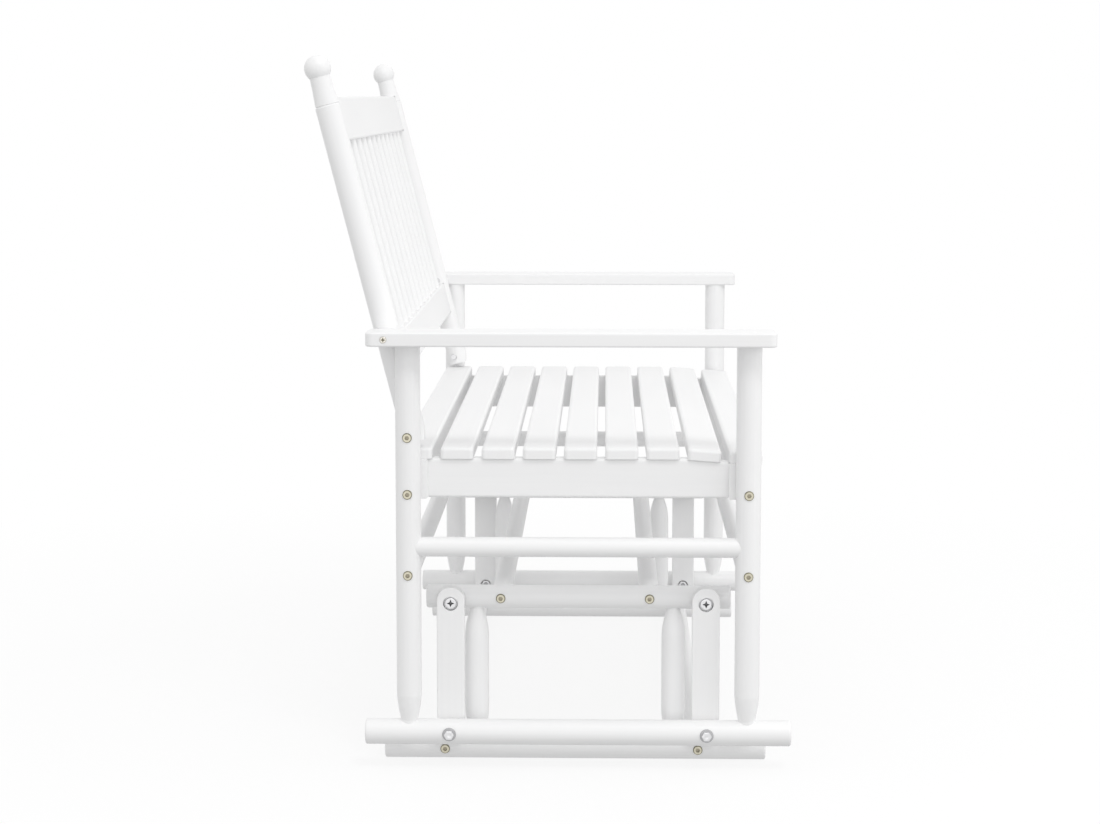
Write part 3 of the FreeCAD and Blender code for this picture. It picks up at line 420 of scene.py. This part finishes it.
yellow_zinc = zinc("yellow_zinc", (0.53, 0.5, 0.4), (0.62, 0.585, 0.47), 0.3, 0.45)
# Painted shade: a copy of the yellow zinc half as dark, for the key sockets.
socket_shade_yellow = zinc("yellow_zinc_socket_shade", (0.3, 0.275, 0.21), (0.4, 0.365, 0.29), 0.4, 0.55)
# Painted shade: a darker copy of the yellow zinc for the bolts' sloping rims and the armrest screws'
# crosses.
painted_shade_yellow = zinc("yellow_zinc_painted_shade", (0.22, 0.21, 0.15), (0.32, 0.3, 0.22), 0.45, 0.6)
bright_zinc = zinc("bright_zinc", (0.68, 0.68, 0.69), (0.78, 0.78, 0.79), 0.25, 0.4)
# Painted shade: a near-black copy of the bright zinc for the pan screws' cross recesses.
painted_shade_bright = zinc("bright_zinc_painted_shade", (0.16, 0.16, 0.165), (0.24, 0.24, 0.245), 0.45, 0.6)
pale_zinc = zinc("pale_zinc", (0.62, 0.59, 0.53), (0.72, 0.69, 0.63), 0.3, 0.45)
# Painted shade: the lower bolts' flanges are darker than the head, half metal so they also take real shade.
flange_shade_zinc = zinc("flange_shade_zinc", (0.42, 0.42, 0.43), (0.5, 0.5, 0.51), 0.4, 0.55, metal=0.4)
print("metals:", [finish.name for finish in bpy.data.materials if "zinc" in finish.name])

# %% [markdown]
# ## Painting the frame
#
# The rails, legs, slats and boards of the mechanical model already have their real shapes and
# rounded edges. They could be modelled again, but nothing would be gained, so they stay as they are
# and only take a finish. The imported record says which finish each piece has, and a piece's longest
# side tells which way its grain runs. The posts and spindles lean with the back.

# %% Paint the pieces
SLOT_FINISH = {"bare_wood": beech, "nylon": nylon, "yellow_zinc": yellow_zinc, "bright_zinc": bright_zinc}
LEANING = ("right_back_post", "left_back_post", "back_spindles")


def grain_way(name):
    """The direction of a piece's grain, by its longest side."""
    if name in LEANING:
        return "leaning"
    low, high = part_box(name)
    size = high - low
    return ("along", "across", "upright")[max(range(3), key=lambda axis: size[axis])]


ways = {}
for row in frame["record"]["subparts"]:
    name = row["node"]
    finish = SLOT_FINISH.get(row["material_slot"])
    if finish is None:
        way = grain_way(name)
        finish = paint[way]
        ways[way] = ways.get(way, 0) + 1
    nodes[name].data.materials.clear()
    nodes[name].data.materials.append(finish)
print("painted pieces by grain:", ways)

# %% [markdown]
# ## Tools for turned fasteners
#
# Every screw and bolt here is a round body with a recess in its head. The round body is a half
# outline spun about its axis, which is how a lathe makes it. The front of the head is left open:
# its rim is extruded inwards to the outline of the recess, a hexagon or a cross, and that outline is
# pushed in and closed. A boolean cut would do the same, but it leaves ragged faces. Each fastener is
# made at the origin, pointing along X, and moved to where the frame holds it.

# %% Read the fasteners' places
MERGE = 1e-6


def solid_boxes(name):
    """Lowest and highest corner of each separate solid in one piece of the frame."""
    copy = bmesh.new()
    copy.from_mesh(nodes[name].data)
    bmesh.ops.remove_doubles(copy, verts=copy.verts, dist=MERGE)
    waiting = set(copy.verts)
    boxes = []
    while waiting:
        solid = [waiting.pop()]
        for vert in solid:
            for edge in vert.link_edges:
                other = edge.other_vert(vert)
                if other in waiting:
                    waiting.remove(other)
                    solid.append(other)
        low = Vector([min(v.co[axis] for v in solid) for axis in range(3)])
        high = Vector([max(v.co[axis] for v in solid) for axis in range(3)])
        boxes.append((low, high))
    copy.free()
    return sorted(boxes, key=lambda box: tuple(round(value, 4) for value in box[0]))


print("leg bolts in the frame:", len(solid_boxes("leg_bolts")))

# %% Turn a body
TURN_STEPS = 48
TIP = 0.0008


def turned(outline):
    """A body of revolution about X from points of (place along the axis, radius)."""
    bm = bmesh.new()
    verts = [bm.verts.new((along, 0, radius)) for along, radius in outline]
    edges = [bm.edges.new(pair) for pair in zip(verts, verts[1:])]
    bmesh.ops.spin(bm, geom=verts + edges, cent=(0, 0, 0), axis=(1, 0, 0), angle=2 * math.pi,
                   steps=TURN_STEPS, use_merge=True)
    bmesh.ops.remove_doubles(bm, verts=bm.verts, dist=MERGE)
    return bm


def shank(start, length, radius):
    """The last points of a fastener's outline: its plain shank with a bevelled tip."""
    return [(start, radius), (length - TIP, radius), (length, radius - TIP), (length, 0)]


print("one turn takes", TURN_STEPS, "steps")

# %% Sink a recess
HEX_WAIST = math.cos(math.radians(30))


def push(bm, edges, depth, narrow):
    """Extrude a ring along the axis, narrowed towards it: the new ring, its points and the walls."""
    grown = bmesh.ops.extrude_edge_only(bm, edges=edges)["geom"]
    verts = [item for item in grown if isinstance(item, bmesh.types.BMVert)]
    walls = [item for item in grown if isinstance(item, bmesh.types.BMFace)]
    bmesh.ops.translate(bm, vec=(depth, 0, 0), verts=verts)
    bmesh.ops.scale(bm, vec=(1, narrow, narrow), verts=verts)
    return [edge for edge in bm.edges if edge.is_boundary], verts, walls


def outline_radius(angle, corners, reach, waist):
    """Radius of an outline whose corners reach out and whose points between them are at the waist."""
    half = math.pi / corners
    turn = abs((angle + half) % (2 * half) - half)
    return reach * waist * math.sin(half) / (reach * math.sin(turn) + waist * math.sin(half - turn))


def draw_in(bm, corners, reach, waist):
    """Carry the open front of a body inwards to an outline, such as a hexagon or a cross."""
    rim = [edge for edge in bm.edges if edge.is_boundary]
    front, verts, _ = push(bm, rim, depth=0.0, narrow=1.0)
    for vert in verts:
        radius = outline_radius(math.atan2(vert.co.z, vert.co.y), corners, reach, waist)
        vert.co.yz = vert.co.yz * (radius / vert.co.yz.length)
    return front


def wear(faces, finish_index):
    """Give faces one of a piece's finishes, by its number."""
    for face in faces:
        face.material_index = finish_index


def sink(bm, corners, reach, waist, depth, narrow, finish_index):
    """Close the open front of a head with a recess."""
    bottom, _, walls = push(bm, draw_in(bm, corners, reach, waist), depth, narrow)
    wear(walls + bmesh.ops.edgeloop_fill(bm, edges=bottom)["faces"], finish_index)


flat_middle = outline_radius(math.radians(30), 6, 1.0, HEX_WAIST)
print("a hexagon's flats lie at", round(flat_middle, 3), "of its corners' radius")


# %% Round an edge
def edges_at(bm, along, radius):
    """The ring of edges at one place and radius of a turned body."""
    def on(vert):
        return abs(vert.co.x - along) < MERGE and abs(vert.co.yz.length - radius) < MERGE
    return [edge for edge in bm.edges if all(on(vert) for vert in edge.verts)]


def soften(bm, edges, offset, segments):
    """Roll edges over with a bevel."""
    bmesh.ops.bevel(bm, geom=edges, offset=offset, offset_type="OFFSET", segments=segments, profile=0.5,
                    affect="EDGES", material=-1)


TRIAL_R = 0.003
trial_pin = turned(shank(0, 5 * TRIAL_R, TRIAL_R))
print("edges round the end of a trial pin:", len(edges_at(trial_pin, 0, TRIAL_R)))
trial_pin.free()

# %% Gather a set of fasteners into one piece
SHARP_ANGLE = math.radians(32)


def fastener_set(node, make):
    """One mesh with a fastener for each solid of a node, its head outwards."""
    whole = bmesh.new()
    for low, high in solid_boxes(node):
        item = make(high.y - low.y, high.x - low.x)
        middle = (low + high) / 2
        place = Matrix.Translation((low.x, middle.y, middle.z))
        if middle.x > 0:
            place = Matrix.Translation((high.x, middle.y, middle.z)) @ Matrix.Rotation(math.pi, 4, "Z")
        bmesh.ops.transform(item, matrix=place, verts=item.verts)
        mesh = bpy.data.meshes.new("fastener")
        item.to_mesh(mesh)
        item.free()
        whole.from_mesh(mesh)
        bpy.data.meshes.remove(mesh)
    return whole


def piece(name, bm, finishes, body, node):
    """Turn a finished mesh into the piece that stands for a node of the frame."""
    bmesh.ops.recalc_face_normals(bm, faces=bm.faces)
    for face in bm.faces:
        face.smooth = True
    for edge in bm.edges:
        edge.smooth = edge.calc_face_angle(math.pi) < SHARP_ANGLE
    mesh = bpy.data.meshes.new(name)
    bm.to_mesh(mesh)
    bm.free()
    for finish in finishes:
        mesh.materials.append(finish)
    made = bpy.data.objects.new(name, mesh)
    scene.collection.objects.link(made)
    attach(made, body)
    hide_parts(node)
    print(name, "stands for", node, "with", len(mesh.polygons), "faces")


print("edges over", round(math.degrees(SHARP_ANGLE)), "degrees stay sharp")

# %% [markdown]
# ## Connector bolts and armrest screws
#
# Flat-headed bolts with a hexagon socket pull the legs onto the seat rails and stretchers, and the
# base rails onto theirs. The head has a sloping rim, which shows as a dark ring round the pale face;
# that ring is painted shade. A bevel could cut that slope, but as a step of the turned outline it is a
# band of its own, which can take the darker painted-shade finish. A six-cornered recess takes the key,
# and it is painted a little darker, as painted shade. The armrest is held by a smaller screw of a
# paler plating with a cross recess, painted dark inside as painted shade, and its head is rounded by a
# bevel.

# %% Armrest screws
# Finishes 1 and 3 are painted shade: 1 for rims and cross recesses, 3 half as dark for key sockets.
BOLT_FINISHES = (yellow_zinc, painted_shade_yellow, pale_zinc, socket_shade_yellow)
PAINTED_SHADE, PALE, SOCKET_SHADE = 1, 2, 3
ARM_HEAD_HEIGHT = 0.0022
ARM_HEAD_ROUND = 0.0008
ARM_SHANK_R = 0.0025
ARM_CROSS = 0.0034
ARM_CROSS_WAIST = 0.0014
ARM_CROSS_DEPTH = 0.0012
ARM_CROSS_TAPER = 0.5
ARM_OPENING = ARM_CROSS * 1.05


def arm_screw(width, length):
    """A small round-headed screw with a cross recess."""
    radius = width / 2
    bm = turned([(0, ARM_OPENING), (0, radius), (ARM_HEAD_HEIGHT, radius)]
                + shank(ARM_HEAD_HEIGHT, length, ARM_SHANK_R))
    soften(bm, edges_at(bm, 0, radius), ARM_HEAD_ROUND, segments=3)
    wear(bm.faces, PALE)
    # The cross recess is painted dark, as painted shade.
    sink(bm, 4, ARM_CROSS, ARM_CROSS_WAIST, ARM_CROSS_DEPTH, ARM_CROSS_TAPER, PAINTED_SHADE)
    return bm


print("armrest screw: cross", round(2000 * ARM_CROSS, 1), "mm wide")

# %% Connector bolts
SMALL_HEAD = 0.011
HEAD_HEIGHT = 0.003
HEAD_SLOPE = 0.001
SHANK_R = 0.003
SOCKET_R = 0.0031
SOCKET_DEPTH = 0.002
SOCKET_TAPER = 0.92
SOCKET_OPENING = SOCKET_R * 1.25


def outer_band(bm, inner_radius, depth):
    """The faces of a head that lie outside a radius, down to a depth."""
    middles = ((face, face.calc_center_median()) for face in bm.faces)
    return [face for face, middle in middles if middle.x < depth and middle.yz.length > inner_radius]


def connector_bolt(width, length):
    """A flat bolt with a key socket, or the armrest screw where the frame's head is small."""
    if width < SMALL_HEAD:
        return arm_screw(width, length)
    radius = width / 2
    face_r = radius - HEAD_SLOPE
    bm = turned([(0, SOCKET_OPENING), (0, face_r), (HEAD_SLOPE, radius), (HEAD_HEIGHT, radius)]
                + shank(HEAD_HEIGHT, length, SHANK_R))
    # The sloping rim is painted dark, as painted shade.
    wear(outer_band(bm, face_r, HEAD_HEIGHT), PAINTED_SHADE)
    # The key socket is painted darker, as painted shade.
    sink(bm, 6, SOCKET_R, SOCKET_R * HEX_WAIST, SOCKET_DEPTH, SOCKET_TAPER, SOCKET_SHADE)
    return bm


for node, body in (("leg_bolts", "seat"), ("back_bolts", "seat"), ("base_bolts", "base")):
    piece("turned_" + node, fastener_set(node, connector_bolt), BOLT_FINISHES, body, node)

# %% [markdown]
# ## Upper pivot screws
#
# A pan-headed screw with a cross recess carries each link at its top. The curve of the head could
# be drawn point by point, but a plain cylinder whose front edge is rolled over with a bevel gives
# the same dome from one number. The recess narrows as it goes in, as the point of a driver does.

# %% Upper pivot screws
PAN_FINISHES = (bright_zinc, painted_shade_bright)
PAN_HEIGHT = 0.0035
PAN_ROUND = 0.0016
PIVOT_R = 0.004
CROSS = 0.0054
CROSS_WAIST = 0.0022
CROSS_DEPTH = 0.0023
CROSS_TAPER = 0.45
CROSS_OPENING = CROSS * 1.1


def pan_screw(width, length):
    """A pan-headed screw with a cross recess."""
    radius = width / 2
    bm = turned([(0, CROSS_OPENING), (0, radius), (PAN_HEIGHT, radius)] + shank(PAN_HEIGHT, length, PIVOT_R))
    soften(bm, edges_at(bm, 0, radius), PAN_ROUND, segments=5)
    # The cross recess is painted dark, as painted shade.
    sink(bm, 4, CROSS, CROSS_WAIST, CROSS_DEPTH, CROSS_TAPER, PAINTED_SHADE)
    return bm


piece("pan_pivot_screws", fastener_set("upper_pivot_screws", pan_screw), PAN_FINISHES, "base",
      "upper_pivot_screws")

# %% [markdown]
# ## Upper pivot washers
#
# A thin washer lies under each of these heads. It is the same kind of turned body, with an outline
# that closes on itself, so the hole is part of the turning and needs no cut. Its outer edges are
# rounded a little, as a stamped and tumbled washer's are.

# %% Upper pivot washers
WASHER_HOLE_R = 0.00405
WASHER_ROUND = 0.0004


def washer(width, thickness):
    """A flat ring with rounded outer edges."""
    radius = width / 2
    bm = turned([(0, WASHER_HOLE_R), (0, radius), (thickness, radius), (thickness, WASHER_HOLE_R),
                 (0, WASHER_HOLE_R)])
    soften(bm, edges_at(bm, 0, radius) + edges_at(bm, thickness, radius), WASHER_ROUND, segments=2)
    return bm


piece("pivot_washers", fastener_set("upper_pivot_washers", washer), (bright_zinc,), "base",
      "upper_pivot_washers")

# %% [markdown]
# ## Lower pivot bolts
#
# A flanged hexagon bolt goes through the lower rail into each link. A six-sided prism set on a disc
# would leave two shells inside each other, so the hexagon is drawn out of the turned flange and
# shares its skin. A shallow dimple marks the middle of the head, as cold-forged bolts have.

# %% Lower pivot bolts
FLANGE_FINISHES = (bright_zinc, flange_shade_zinc)
HEAD, FLANGE = 0, 1
HEX_ACROSS_FLATS = 0.012
HEX_R = HEX_ACROSS_FLATS / math.sqrt(3)
HEX_OPENING = HEX_R * 1.08
HEX_HEIGHT = 0.004
HEX_ROUND = 0.0006
FLANGE_EDGE = 0.0008
FLANGE_THICKNESS = 0.002
DIMPLE_R = 0.0025
DIMPLE_DEPTH = 0.0004
DIMPLE_TAPER = 0.5


def flange_bolt(width, length):
    """A hexagon bolt with a flange under its head."""
    radius = width / 2
    seat = HEX_HEIGHT + FLANGE_THICKNESS
    bm = turned([(HEX_HEIGHT, HEX_OPENING), (HEX_HEIGHT + FLANGE_EDGE, radius), (seat, radius)]
                + shank(seat, length, PIVOT_R))
    # The whole flange is painted darker, as painted shade round the hexagon.
    wear(bm.faces, FLANGE)
    foot = draw_in(bm, 6, HEX_R, HEX_R * HEX_WAIST)
    head, _, flats = push(bm, foot, depth=-HEX_HEIGHT, narrow=1.0)
    wear(flats, HEAD)
    sink(bm, TURN_STEPS, DIMPLE_R, DIMPLE_R, DIMPLE_DEPTH, DIMPLE_TAPER, HEAD)
    soften(bm, head, HEX_ROUND, segments=2)
    return bm


piece("flanged_pivot_bolts", fastener_set("lower_pivot_bolts", flange_bolt), FLANGE_FINISHES, "seat",
      "lower_pivot_bolts")
